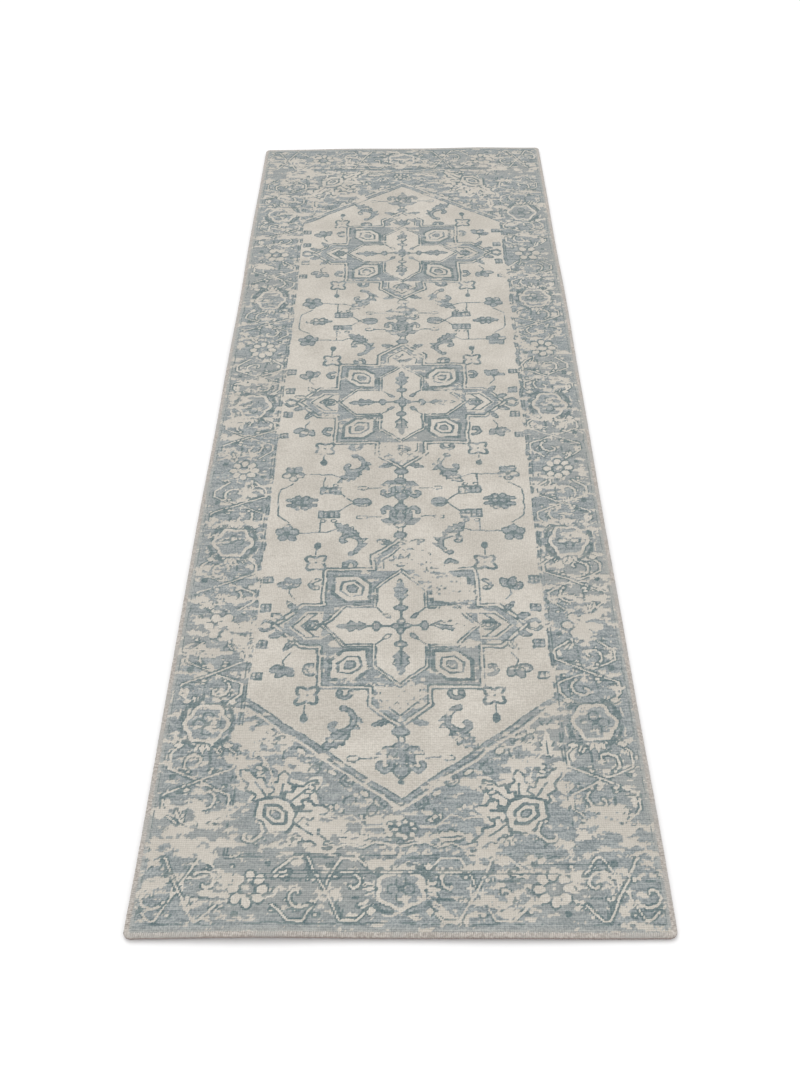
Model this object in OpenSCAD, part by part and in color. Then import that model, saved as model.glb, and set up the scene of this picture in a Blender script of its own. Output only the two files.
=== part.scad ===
// A runner rug: wool pile woven on a cotton foundation, sealed with latex, faced underneath with
// cotton cloth, and overcast with yarn round a cord along all four edges.
// X runs across the rug, Y along it and Z up. The origin is the centre of the underside.

/* [Rug] */
// Width across the overcast edges
rug_w = 800; // [600:10:1000]
// Length from end to end
rug_l = 2500; // [1500:50:4000]
// Radius of each corner, over the overcasting
corner_r = 12; // [11:1:20]

/* [Layers] */
// Thickness of the backing cloth
backing_t = 1; // [0.8:0.1:1.2]
// Thickness of the latex coat
latex_t = 0.8; // [0.7:0.1:1]
// Thickness of one warp
warp_t = 1.2; // [1:0.1:1.4]
// Thickness of one weft
weft_t = 0.8; // [0.6:0.1:1]
// Height of the pile above the foundation
pile_h = 4.4; // [3.8:0.1:6]
// Spacing of the warps
warp_pitch = 6.8; // [5:0.2:20]
// Spacing of the wefts in each of the two weft layers
weft_pitch = 13.6; // [10:0.4:40]

/* [Edges] */
// Width of the overcasting seen from above
overcast_w = 10; // [9:0.5:10.5]
// Height of the overcasting
overcast_h = 8; // [7.6:0.1:8.2]
// Thickness of the overcasting yarn
overcast_t = 1.3; // [1.1:0.1:1.5]
// Diameter of the cord inside the overcasting
edge_cord_d = 5.2; // [4:0.1:5.2]

/* [Hidden] */

half_w = rug_w / 2;
half_l = rug_l / 2;
// How far in from the outline the woven layers stop, just short of the edge cord
cord_gap = 0.3;
tongue_in = overcast_h / 2 + edge_cord_d / 2 + cord_gap;
tongue_r = corner_r - tongue_in;

// Height of the underside of each layer
latex_z = backing_t;
lower_weft_z = latex_z + latex_t;
warp_z = lower_weft_z + weft_t;
upper_weft_z = warp_z + warp_t;
pile_z = upper_weft_z + weft_t;
pile_top = pile_z + pile_h;

yarn_sides = 6;
arc_fn = 64;

// The rug's outline, moved in from the outer edge, with its corners still concentric
module outline(inset) {
    r = corner_r - inset;
    square([rug_w - 2 * corner_r, rug_l - 2 * inset], center = true);
    square([rug_w - 2 * inset, rug_l - 2 * corner_r], center = true);
    for (sx = [-1, 1], sy = [-1, 1])
        translate([sx * (half_w - corner_r), sy * (half_l - corner_r)])
            circle(r = r, $fn = arc_fn);
}

// A flat layer between two heights
module layer(inset, z0, z1) {
    translate([0, 0, z0])
        linear_extrude(z1 - z0)
            outline(inset);
}

// One straight yarn along Y, with a flat top and bottom that lie against the next layer
module yarn(thickness, length) {
    rotate([90, 0, 0])
        cylinder(d = thickness / cos(180 / yarn_sides), h = length, center = true, $fn = yarn_sides);
}

// Half the length of a yarn that lies at distance off from the middle, so that it ends on the tongue outline
function half_reach(off, thickness, half_off, half_along) =
    let (over = off + thickness - (half_off - corner_r))
    half_along - corner_r + (over > 0 ? sqrt(pow(tongue_r, 2) - pow(over, 2)) : tongue_r);

// Yarns side by side along Y, spread across 2 * half_off, with shift as a share of the pitch
module yarn_row(thickness, pitch, half_off, half_along, shift) {
    last = floor((half_off - tongue_in - thickness) / pitch - shift);
    first = shift > 0 ? -last - 1 : -last;
    for (i = [first : last]) {
        off = (i + shift) * pitch;
        translate([off, 0, 0])
            yarn(thickness, 2 * half_reach(abs(off), thickness, half_off, half_along));
    }
}

// Section of the overcasting: x runs inwards from the outer edge and y runs up
module overcast_section() {
    mid = overcast_h / 2;
    inner_h = overcast_h - 2 * overcast_t;
    difference() {
        union() {
            translate([mid, mid]) circle(d = overcast_h, $fn = arc_fn);
            translate([mid, 0]) square([overcast_w - mid, overcast_h]);
        }
        translate([mid, mid]) circle(d = inner_h, $fn = arc_fn);
        translate([mid, overcast_t]) square([overcast_w, inner_h]);
    }
}

module edge_cord_section() {
    translate([overcast_h / 2, overcast_h / 2]) circle(d = edge_cord_d, $fn = arc_fn);
}

// A section run along one long side and round the corner at each end of it
module side_run() {
    straight = rug_l - 2 * corner_r;
    translate([-half_w, straight / 2, 0])
        rotate([90, 0, 0])
            linear_extrude(straight)
                children();
    for (end = [-1, 1])
        translate([corner_r - half_w, end * straight / 2, 0])
            rotate([0, 0, end > 0 ? 90 : 180])
                rotate_extrude(angle = 90, $fn = arc_fn)
                    translate([corner_r, 0]) mirror([1, 0]) children();
}

// A section run along one end, between the two corners
module end_run() {
    straight = rug_w - 2 * corner_r;
    translate([-straight / 2, -half_l, 0])
        rotate([90, 0, 90])
            linear_extrude(straight)
                children();
}

module right_side() { mirror([1, 0, 0]) side_run() children(); }
module far_end() { mirror([0, 1, 0]) end_run() children(); }

module backing_cloth() {
    color("linen") layer(overcast_w, 0, backing_t);
}

// The coat seals the back of the weave, and its edge reaches in under the overcasting
module latex_coat() {
    color("tan") {
        layer(overcast_w, latex_z, lower_weft_z);
        layer(tongue_in, overcast_t, lower_weft_z);
    }
}

module lower_wefts() {
    color("ivory")
        translate([0, 0, lower_weft_z + weft_t / 2])
            rotate([0, 0, 90]) yarn_row(weft_t, weft_pitch, half_l, half_w, 0.5);
}

module warps() {
    color("antiquewhite")
        translate([0, 0, warp_z + warp_t / 2])
            yarn_row(warp_t, warp_pitch, half_w, half_l, 0);
}

module upper_wefts() {
    color("ivory")
        translate([0, 0, upper_weft_z + weft_t / 2])
            rotate([0, 0, 90]) yarn_row(weft_t, weft_pitch, half_l, half_w, 0);
}

// The pile stands full height inside the overcasting, and is held down to a tongue under it
module pile() {
    color("lightsteelblue") {
        layer(overcast_w, pile_z, pile_top);
        layer(tongue_in, pile_z, overcast_h - overcast_t);
    }
}

module edge_cord() { color("wheat") edge_cord_section(); }
module overcast() { color("gainsboro") overcast_section(); }

backing_cloth();
latex_coat();
lower_wefts();
warps();
upper_wefts();
pile();
side_run() edge_cord();  // edge_cord_left
right_side() edge_cord();  // edge_cord_right
end_run() edge_cord();  // edge_cord_near
far_end() edge_cord();  // edge_cord_far
side_run() overcast();  // overcast_left
right_side() overcast();  // overcast_right
end_run() overcast();  // overcast_near
far_end() overcast();  // overcast_far
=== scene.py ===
"""The visual model of the runner rug: knotted pile drawn from a cartoon, on its foundation, with
overcast edges."""
import math

import bpy
import numpy as np
from mathutils import Matrix, Vector


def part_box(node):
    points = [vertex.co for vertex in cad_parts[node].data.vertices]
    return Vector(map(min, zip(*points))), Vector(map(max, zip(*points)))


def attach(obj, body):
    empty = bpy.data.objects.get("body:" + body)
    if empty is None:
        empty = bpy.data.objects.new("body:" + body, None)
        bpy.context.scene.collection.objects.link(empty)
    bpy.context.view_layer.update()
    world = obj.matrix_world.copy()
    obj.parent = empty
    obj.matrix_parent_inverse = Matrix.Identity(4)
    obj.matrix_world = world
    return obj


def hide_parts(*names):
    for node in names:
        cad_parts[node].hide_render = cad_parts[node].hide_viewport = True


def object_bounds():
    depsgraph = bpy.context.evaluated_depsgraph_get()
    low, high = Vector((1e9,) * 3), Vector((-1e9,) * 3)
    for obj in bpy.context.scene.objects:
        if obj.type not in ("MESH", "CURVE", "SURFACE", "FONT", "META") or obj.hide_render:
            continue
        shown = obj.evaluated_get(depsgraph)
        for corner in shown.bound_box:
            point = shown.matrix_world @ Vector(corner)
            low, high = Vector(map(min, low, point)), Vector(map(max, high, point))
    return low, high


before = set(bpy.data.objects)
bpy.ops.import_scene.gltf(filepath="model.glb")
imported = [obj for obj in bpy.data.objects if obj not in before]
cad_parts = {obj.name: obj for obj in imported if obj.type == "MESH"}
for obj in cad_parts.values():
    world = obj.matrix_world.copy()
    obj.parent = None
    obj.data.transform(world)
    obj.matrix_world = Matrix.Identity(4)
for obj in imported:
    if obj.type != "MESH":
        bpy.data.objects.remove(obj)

cad_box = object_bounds()

# === Sizes, in millimetres, from the frame
MM = 0.001


def box_mm(node):
    """The lowest and highest corner of a CAD node, in millimetres."""
    low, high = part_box(node)
    return np.array(low) / MM, np.array(high) / MM


RUG_LOW, RUG_HIGH = np.array(cad_box[0]) / MM, np.array(cad_box[1]) / MM
RUG_W, RUG_L = (RUG_HIGH - RUG_LOW)[:2]
BACKING_LOW, BACKING_HIGH = box_mm("backing_cloth")
LATEX_LOW, LATEX_HIGH = box_mm("latex_coat")
PILE_LOW, PILE_HIGH = box_mm("pile")
BIND_LOW, BIND_HIGH = box_mm("overcast_near")
CORD_LOW, CORD_HIGH = box_mm("edge_cord_near")

PILE_TOP = PILE_HIGH[2]
BIND_H = BIND_HIGH[2] - BIND_LOW[2]      # height of the overcasting
CORNER_R = BIND_LOW[0] - RUG_LOW[0]      # radius of the rug's corners
CORD_R = (CORD_HIGH[2] - CORD_LOW[2]) / 2

# === The cartoon: which yarn each spot of the pile is knotted in.
# x runs from the left edge and y from the near end, in millimetres
CREAM, GREY, SLATE = 0, 1, 2
COLUMNS, ROWS = 307, 962                                  # knots across and along
FINE = 3                                                  # cells of the cartoon to a knot
CELL = np.array([RUG_W / COLUMNS, RUG_L / ROWS]) / FINE
cartoon = np.full((ROWS * FINE, COLUMNS * FINE), GREY, np.uint8)
cell_x = (np.arange(COLUMNS * FINE) + 0.5) * CELL[0]
cell_y = (np.arange(ROWS * FINE) + 0.5) * CELL[1]

# Places that repeat, in the cartoon's millimetres
AXIS = RUG_W / 2
MEDALLIONS = [(604, 1.0), (1267, 0.985), (1901, 0.957)]   # height up the rug, and how far it is beaten down
FIELD_IN, FIELD_END = 139, 137
APEX_NEAR, APEX_FAR = 227, 2269
SHOULDER = 432
BORDER_MIDDLE = 77


def place(x, y, across=1, along=1):
    """Where a motif goes: its own points are stretched or mirrored, then moved."""
    def at(points):
        return np.array(points, float) * (across, along) + (x, y)
    return at


def window(p, margin):
    """The part of the cartoon that the points cover, as two slices."""
    low = np.floor((p.min(0) - margin) / CELL).astype(int).clip(0)
    high = np.ceil((p.max(0) + margin) / CELL).astype(int).clip(0) + 1
    return slice(low[1], high[1]), slice(low[0], high[0])


def fill(at, yarn, points):
    """Fills a closed outline."""
    p = at(points)
    rows, columns = window(p, 0)
    x, y = cell_x[columns][None, :], cell_y[rows][:, None]
    covered = np.zeros((y.size, x.size), bool)
    for a, b in zip(p, np.roll(p, -1, 0)):
        if a[1] == b[1]:
            continue
        between = (a[1] > y) != (b[1] > y)
        covered ^= between & (x < (b[0] - a[0]) * (y - a[1]) / (b[1] - a[1]) + a[0])
    cartoon[rows, columns][covered] = yarn


def on_knots(p):
    """The middle of the knot that each point falls on."""
    return (np.floor(p / CELL / FINE) + 0.5) * CELL * FINE


def stroke(at, yarn, width, points, closed=False):
    """Draws a line of that width from knot to knot through the points."""
    p = on_knots(at(points))
    ends = list(zip(p, np.roll(p, -1, 0)))
    for a, b in ends if closed else ends[:-1]:
        rows, columns = window(np.array([a, b]), width)
        x, y = cell_x[columns][None, :], cell_y[rows][:, None]
        d = b - a
        t = (((x - a[0]) * d[0] + (y - a[1]) * d[1]) / max(d @ d, 1e-9)).clip(0, 1)
        near = (x - a[0] - t * d[0]) ** 2 + (y - a[1] - t * d[1]) ** 2 <= (width / 2) ** 2
        cartoon[rows, columns][near] = yarn


OVAL_POINTS = 20


def oval(x, y, rx, ry=None, turn=0):
    """An oval's outline, turned by an angle in degrees."""
    ry = rx if ry is None else ry
    c, s = math.cos(math.radians(turn)), math.sin(math.radians(turn))
    angles = [2 * math.pi * i / OVAL_POINTS for i in range(OVAL_POINTS)]
    return [(x + rx * math.cos(t) * c - ry * math.sin(t) * s,
             y + rx * math.cos(t) * s + ry * math.sin(t) * c) for t in angles]


def rect(x0, y0, x1, y1):
    return [(x0, y0), (x1, y0), (x1, y1), (x0, y1)]


def soft(points, closed=True):
    """The same outline with its corners cut, twice over."""
    p = np.array(points, float)
    for _ in range(2):
        q = np.roll(p, -1, 0) if closed else p[1:]
        a = p if closed else p[:-1]
        p = np.stack([0.75 * a + 0.25 * q, 0.25 * a + 0.75 * q], 1).reshape(-1, 2)
    return p


def outlined(at, yarn, points, width=3.4):
    """A shape in one yarn with a slate outline."""
    fill(at, SLATE, points)
    stroke(at, SLATE, width, points, closed=True)
    middle = np.mean(np.array(points, float), 0)
    p = np.array(points, float)
    reach = np.abs(p - middle).max(0)
    fill(at, yarn, middle + (p - middle) * (reach - width / 2) / reach)


def banded(at, yarn, width, points, edge=3.2, closed=False):
    """A line of one yarn with a slate line along each side."""
    stroke(at, SLATE, width + 2 * edge, points, closed)
    stroke(at, yarn, width, points, closed)


def inside(at, x, y, turn=0, size=1):
    """A place within a place, turned by an angle in degrees and mirrored with the outer one."""
    c, s = math.cos(math.radians(turn)), math.sin(math.radians(turn))

    def there(points):
        p = np.array(points, float) * size
        return at(np.column_stack([p[:, 0] * c - p[:, 1] * s + x, p[:, 0] * s + p[:, 1] * c + y]))
    return there


def four_ways(x, y, along=1):
    """The four mirror images about a point."""
    return [place(x, y, sx, sy * along) for sx in (1, -1) for sy in (1, -1)]


# --- stock forms, each about its own middle, with its tip towards +y

def polar(reach, turn):
    return reach * math.cos(math.radians(turn)), reach * math.sin(math.radians(turn))


def draw_petals(at, count, reach, size, yarn, edge=2.6, start=0):
    for i in range(count):
        turn = start + 360 * i / count
        outlined(at, yarn, oval(*polar(reach, turn), 1.15 * size, size, turn), edge)


def draw_rosette(at, count=8, reach=22, size=9):
    """A round flower with a dotted eye."""
    draw_petals(at, count, reach, size, CREAM)
    fill(at, SLATE, oval(0, 0, 0.62 * reach))
    fill(at, GREY, oval(0, 0, 0.45 * reach))
    fill(at, CREAM, oval(0, 0, 0.14 * reach))


def draw_quatrefoil(at, r):
    """Four lobes round a dark eye."""
    draw_petals(at, 4, 1.5 * r, r - 0.4, GREY, 3)
    draw_petals(at, 4, 1.7 * r, 1.6, CREAM, 0.1)
    fill(at, SLATE, oval(0, 0, 4.4))


def draw_cross_flower(at):
    """A flower of four pointed lobes."""
    for yarn, long, wide in ((SLATE, 27, 12.5), (CREAM, 21, 6.8)):
        for turn in (45, 135):
            fill(at, yarn, oval(0, 0, long, wide, turn))
        if yarn == SLATE:
            fill(at, SLATE, rect(-15, -15, 15, 15))
    for turn in range(0, 360, 90):
        fill(at, GREY, oval(*polar(13, turn), 3))
    fill(at, SLATE, oval(0, 0, 2.4))


def saw_leaf(length, width, teeth=4):
    """The outline of a pointed leaf with a saw edge, which stands on its foot."""
    side = []
    for i in range(teeth):
        low, high = i / teeth, (i + 0.75) / teeth
        side.append((0.5 * width * math.sin(math.pi * (0.8 * low + 0.14)), length * low))
        side.append((width * math.sin(math.pi * (0.8 * high + 0.12)), length * high))
    return side + [(0, length * 1.08)] + [(-x, y) for x, y in reversed(side)]


def draw_saw_leaf(at, length, width, yarn=GREY, teeth=4, edge=2.8):
    outlined(at, yarn, saw_leaf(length, width, teeth), edge)
    stroke(at, SLATE, 2.4, [(0, 0), (0, 0.7 * length)])


def draw_fan(at, size, yarn=CREAM, spread=30):
    """Five pointed petals that open upwards, over a small calyx."""
    for step in (-2, 2, -1, 1, 0):
        tip = (1.02 - 0.06 * abs(step)) * size
        petal = [(0, 0), (0.2 * size, 0.5 * size), (0, tip), (-0.2 * size, 0.5 * size)]
        outlined(inside(at, 0, 0, -spread * step), yarn, petal, 2.4)
    outlined(at, GREY, oval(0, 0, 0.26 * size, 0.18 * size), 2.8)


def draw_curl(at, yarn=CREAM, width=4.6):
    """A leaf that rolls over at its tip, with teeth along its back."""
    for x, y, lean in ((-36, 4, -8), (-29, 18, -5), (-12, 26, 0)):
        outlined(at, yarn, [(x - 5, y - 5), (x + lean, y + 9), (x + 6, y)], 2.2)
    spine = [(-26, -30), (-36, -12), (-30, 10), (-10, 20), (10, 12), (10, -4), (-4, -6)]
    banded(at, yarn, width, soft(spine, False), edge=2.7)
    outlined(at, yarn, oval(-25, -29, 6), 2.6)


def draw_scroll(at):
    """A small scroll that stands on an edge."""
    banded(at, GREY, 3.6, soft([(-13, -2), (-14, 11), (-4, 17), (7, 12), (7, 4)], False), edge=2.7)
    outlined(at, GREY, oval(5, 5, 5), 2.6)


def draw_sprig(at, yarn=GREY):
    """Three leaves on a bent stalk."""
    stroke(at, SLATE, 2.8, [(0, -4), (8, -16), (6, -34)])
    for turn in (62, -50, 4):
        outlined(inside(at, 0, -4, turn), yarn, soft([(-7, 3), (-9, 18), (0, 29), (9, 18), (7, 3)]), 2.8)
    fill(at, SLATE, oval(0, -2, 5.5))


def draw_bud(at):
    """A small dark bud on a stalk."""
    stroke(at, SLATE, 2.6, [(0, -20), (0, 0)])
    fill(at, SLATE, soft([(-7, 12), (-6, 0), (0, -5), (6, 0), (7, 12), (0, 18)]))


def draw_window(at, size=9):
    """A small square with four light panes."""
    outlined(at, GREY, rect(-size, -size, size, size), 2.8)
    stroke(at, SLATE, 2.4, [(0, -size), (0, size)])
    for turn in range(45, 360, 90):
        fill(at, CREAM, oval(*polar(0.65 * size, turn), 1.9))


def draw_lozenge(at, wide, high):
    """A flattened hexagon with a smaller one in it."""
    for yarn, size, edge in ((CREAM, 1, 4.2), (GREY, 0.46, 3.4)):
        hexagon = [(wide, 0), (0.45 * wide, high), (-0.45 * wide, high), (-wide, 0), (-0.45 * wide, -high),
                   (0.45 * wide, -high)]
        outlined(at, yarn, [(x * size, y * size) for x, y in hexagon], edge)


def draw_palmette(at, crowned=False):
    """A four-lobed flower in a scalloped cream ring, with a fan of petals at its foot. A crowned one has
    another at its head."""
    turns = range(0, 360, 15)
    ring = [(34 * (1 + 0.09 * math.cos(math.radians(6 * t))) * polar(1, t)[0],
             38 * (1 + 0.09 * math.cos(math.radians(6 * t))) * polar(1, t)[1]) for t in turns]
    for up in (0, 180):
        half = inside(at, 0, 0, up)
        if crowned or up:
            draw_fan(inside(half, 0, 36), 30)
        for side in (1, -1):
            stroke(half, SLATE, 5.6, [(side * 44, 10), (side * 37, 32), (side * 18, 48)])
            outlined(half, CREAM, [(side * 38, 38), (side * 50, 46), (side * 40, 54), (side * 30, 48)], 2.4)
            stroke(half, CREAM, 3.2, [(side * 50, 12), (side * 46, 30)])
    stroke(at, SLATE, 12, ring, closed=True)
    fill(at, GREY, ring)
    stroke(at, CREAM, 6.4, ring, closed=True)
    draw_quatrefoil(at, 8 if crowned else 9)


# --- the field

def draw_grounds():
    """The cream field, a hexagon drawn out along the rug, and the guards round it and round the border."""
    here = place(0, 0)
    left, right = FIELD_IN, RUG_W - FIELD_IN
    far_shoulder = RUG_L - SHOULDER
    fill(here, CREAM, [(left, SHOULDER), (AXIS, APEX_NEAR), (right, SHOULDER),
                       (right, far_shoulder), (AXIS, APEX_FAR), (left, far_shoulder)])
    guard = rect(left - 5, FIELD_END - 5, right + 5, RUG_L - FIELD_END + 5)
    banded(here, GREY, 3.4, guard, edge=2.4, closed=True)
    stroke(here, SLATE, 3, rect(14, 19, RUG_W - 14, RUG_L - 19), closed=True)


def draw_gable_band(at):
    """One slanting edge of the field, with scrolls and ovals outside it. The point is at the field's apex."""
    run, rise = AXIS - FIELD_IN, SHOULDER - APEX_NEAR
    slope = math.degrees(math.atan2(rise, run))
    banded(at, GREY, 6.5, [(0, 0), (run, rise)], edge=2.9)
    stroke(at, CREAM, 4.6, [(0, -13), (run, rise - 13)])
    for i in range(1, 10):
        spot = inside(at, run * i / 10, rise * i / 10 - 17, slope + 180)
        if i % 2:
            draw_scroll(inside(spot, 0, 0, 0, 0.8))
        else:
            outlined(spot, CREAM, oval(0, 8, 10, 6), 2.8)


def draw_gables(at):
    """The nested gables that stand on a medallion's frame, at its side and at its end."""
    fill(at, CREAM, [(140, 0), (140, 50), (180, 50), (226, 0)])
    stroke(at, GREY, 9.5, [(207, 4), (174, 39), (144, 39)])
    for reach in (197, 180):
        stroke(at, SLATE, 3, [(reach, 0), (reach - 28, 28), (144, 28)])
    draw_lozenge(inside(at, 158, 0), 13, 10)
    fill(at, CREAM, [(0, 140), (53, 140), (53, 179), (0, 226)])
    stroke(at, GREY, 8, [(42, 150), (42, 175), (6, 208)])
    stroke(at, SLATE, 3, [(34, 148), (34, 170), (0, 202)])
    draw_fan(inside(at, 0, 156), 30, GREY)


def draw_frame(at):
    """A medallion's stepped frame, with the petals of its star and a corner panel, in a quarter of it."""
    fill(at, GREY, rect(0, 0, 142, 143))
    draw_gables(at)
    corners = [(226, 0), (180, 50), (142, 50), (142, 143), (53, 143), (53, 179), (0, 226)]
    banded(at, CREAM, 4.6, corners, edge=3.6)
    side = [(46, 0), (46, 47), (100, 47), (141, 0)]
    end = [(0, 46), (47, 46), (47, 95), (0, 140)]
    for petal in (side, end):
        fill(at, CREAM, petal)
        banded(at, CREAM, 3, petal[1:], edge=3.2)
    fill(at, CREAM, rect(-2, -2, 47.5, 47.5))
    panel = [(58, 58), (100, 58), (124, 82), (124, 126), (80, 126), (58, 104)]
    outlined(at, CREAM, panel, 6.2)
    draw_lozenge(inside(at, 91, 92, 45), 25, 17)


def draw_star_centre(at):
    """The stems and leaves in the middle of a medallion, in a quarter of it."""
    draw_saw_leaf(inside(at, 0, 62), 50, 14, GREY, 3, 3.2)
    draw_saw_leaf(inside(at, 62, 0, -90), 50, 13, GREY, 3, 3.2)
    for turn in (0, -90):
        spoke = inside(at, 0, 0, turn)
        stroke(spoke, SLATE, 3.6, [(0, 12), (0, 60)])
        outlined(spoke, GREY, oval(0, 44, 10, 7), 3.2)
    stroke(at, SLATE, 3.6, [(24, 24), (44, 44)])
    outlined(at, GREY, oval(24, 24, 8, 4, 45), 2.8)
    draw_quatrefoil(at, 7)


def draw_pendant(at):
    """A lotus on a stem between two scrolling leaves, which hangs from a medallion's point."""
    stroke(at, SLATE, 3.2, [(6, 232), (6, 306)])
    outlined(at, GREY, oval(0, 238, 13, 9), 3.2)
    draw_fan(inside(at, 0, 268), 46, GREY, 34)
    banded(at, GREY, 5, soft([(10, 284), (15, 308), (27, 319), (38, 309), (31, 296)], False), edge=2.7)
    outlined(at, GREY, soft([(-12, 306), (12, 306), (13, 322), (0, 331), (-13, 322)]), 3.2)
    fill(at, SLATE, oval(0, 337, 6, 5))
    draw_saw_leaf(inside(at, 20, 214, -70), 26, 8, GREY, 3)
    stroke(at, SLATE, 2.8, [(38, 290), (64, 290)])
    outlined(at, CREAM, oval(76, 290, 11, 5), 2.2)


def draw_corner_leaves(at):
    """A rolled leaf and a saw-edged one, on the slant of a medallion's pendant."""
    draw_curl(inside(at, 106, 222, 24, 0.95), GREY, 6)
    draw_saw_leaf(inside(at, 88, 238, -48), 48, 16, GREY, 4, 3.2)


def draw_medallion(y, along):
    """One medallion with its pendants, and what stands round it."""
    for at in four_ways(AXIS, y, along):
        draw_frame(at)
        draw_star_centre(at)
        draw_cross_flower(inside(at, 160, 161))
        draw_scroll(inside(at, 100, 150))
        draw_scroll(inside(at, 150, 100, -90))
        draw_bud(inside(at, 161, 203))
        draw_sprig(inside(at, 205, 100, -24, 1.05))
        draw_window(inside(at, 247, 44))
        draw_window(inside(at, 249, 116), 8)
        draw_saw_leaf(inside(at, 192, 36, -35), 26, 8, GREY, 3)
        outlined(at, GREY, oval(222, 22, 12, 6, 20), 3)
        banded(at, GREY, 3, [(232, 8), (246, 14), (254, 6)], edge=2.6)
        draw_pendant(at)
        draw_corner_leaves(at)


def draw_between(at):
    """What lies beside the axis between two medallions, up to halfway."""
    stroke(at, SLATE, 2.8, [(114, 262), (140, 246), (196, 246)])
    stroke(at, SLATE, 2.6, [(157, 246), (157, 284)])
    draw_petals(inside(at, 220, 244), 5, 14, 8.5, GREY, 2.8, 90)
    fill(at, SLATE, oval(220, 244, 7))
    stroke(at, SLATE, 2.6, [(218, 274), (243, 294), (246, 310), (246, 336)])
    stroke(at, SLATE, 2.6, [(120, 306), (97, 331), (82, 331)])
    for x in (131, 152):
        draw_window(inside(at, x, 299), 10)
        outlined(at, CREAM, oval(x, 280, 5, 4), 2.4)
    outlined(at, GREY, soft([(56, 331), (70, 321), (90, 324), (94, 331), (90, 338), (70, 341)]), 3)
    flower = inside(at, 198, 326)
    for turn in (-90, 90):
        draw_saw_leaf(inside(flower, 0, 0, turn), 30, 8, GREY, 3)
    draw_petals(flower, 4, 10, 6, GREY, 2.8, 45)
    fill(flower, SLATE, oval(0, 0, 5))


def draw_field():
    for y, along in MEDALLIONS:
        draw_medallion(y, along)
    for (low, a), (high, b) in zip(MEDALLIONS, MEDALLIONS[1:]):
        for sx in (1, -1):
            draw_between(place(AXIS, low, sx, a))
            draw_between(place(AXIS, high, sx, -b))


# --- the corners of the field

def draw_spandrel(at):
    """Saw-edged leaves and vines between the hexagon and the guard. The point is the rug's corner."""
    corner = inside(at, 206, 208, -45)
    for turn, length in ((-84, 100), (84, 100), (-42, 74), (42, 74), (0, 76)):
        leaf = inside(corner, 0, 4, turn)
        fill(leaf, CREAM, saw_leaf(length + 12, 30, 4))
        outlined(leaf, CREAM, saw_leaf(length, 20, 4), 5)
        stroke(leaf, SLATE, 3.6, [(0, 10), (0, 0.7 * length)])
    outlined(corner, CREAM, [(-40, -6), (-22, 22), (0, 30), (22, 22), (40, -6), (20, -30), (-20, -30)], 4.6)
    draw_lozenge(inside(corner, 0, -2), 24, 14)
    draw_curl(inside(at, 166, 168, 200, 0.7))
    for turn, x, y in ((-90, 300, 166), (0, 160, 312)):
        draw_saw_leaf(inside(at, x, y, turn), 52, 14, CREAM, 4)
    for x, y, turn in ((262, 250, 30), (298, 214, -20), (178, 292, 60), (236, 160, 190), (346, 196, -30)):
        draw_sprig(inside(at, x, y, turn, 0.6), CREAM)
    stroke(at, CREAM, 3.6, [(262, 206), (300, 196), (322, 206), (346, 182), (372, 182)])
    stroke(at, CREAM, 3.6, [(196, 262), (186, 300), (166, 330), (160, 380)])
    draw_vine(at, [(286, 152), (306, 146), (322, 154), (342, 147), (362, 156), (400, 150)])
    draw_rosette(inside(at, 394, 178), 8, 14, 5)
    for x, y, turn in ((320, 232, 20), (356, 214, 60), (190, 352, 120), (216, 322, 60), (262, 290, 40)):
        outlined(at, GREY, oval(x, y, 11, 7, turn), 2.8)


# --- the border

def draw_vine(at, points):
    """The thin cream line that runs through the border."""
    banded(at, CREAM, 3.7, points, edge=2.5)


def draw_squares(at, places):
    for k, (x, y) in enumerate(places):
        outlined(at, (CREAM, SLATE)[k % 2], rect(x - 4, y - 4, x + 4, y + 4), 2.4)


def draw_filler(at, kind):
    """A small sprig to fill a gap in the border, of one of three kinds."""
    if kind == 0:
        stroke(at, CREAM, 2.8, [(-8, 0), (8, 0)])
        stroke(at, CREAM, 2.8, [(0, -7), (0, 7)])
    elif kind == 1:
        fill(at, CREAM, saw_leaf(18, 7, 2))
        stroke(at, SLATE, 2.8, [(-10, -4), (2, -6), (10, 0)])
    else:
        stroke(at, CREAM, 3, [(-8, 8), (-6, -2), (4, -6)])
        stroke(at, SLATE, 2.8, [(-2, 9), (0, 2), (8, -1)])


def draw_crossing(at, reach):
    """Two angular vines that cross midway between two flowers, which lie that far up and down."""
    wide = 52
    for side in (1, -1):
        draw_vine(at, [(26 * side, 38 - reach), (wide * side, 62 - reach), (wide * side, -26),
                       (-wide * side, 26), (-wide * side, reach - 62), (-26 * side, reach - 38)])
        half = inside(at, 0, 0, 90 - 90 * side)
        draw_curl(inside(half, -8, 40, 12, 0.68))
        draw_saw_leaf(inside(half, 30, 50, 24), 30, 9, CREAM, 3)
        draw_sprig(inside(half, 22, 18, 100, 0.5), CREAM)
        stroke(half, SLATE, 4.2, [(14, 34), (14, 60)])
        draw_squares(half, [(-42, 10), (42, -8), (-38, 76), (40, 88)])
        for kind, (x, y) in enumerate(((-4, 8), (44, 34), (-4, 74))):
            draw_filler(inside(half, x, y), kind)


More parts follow.
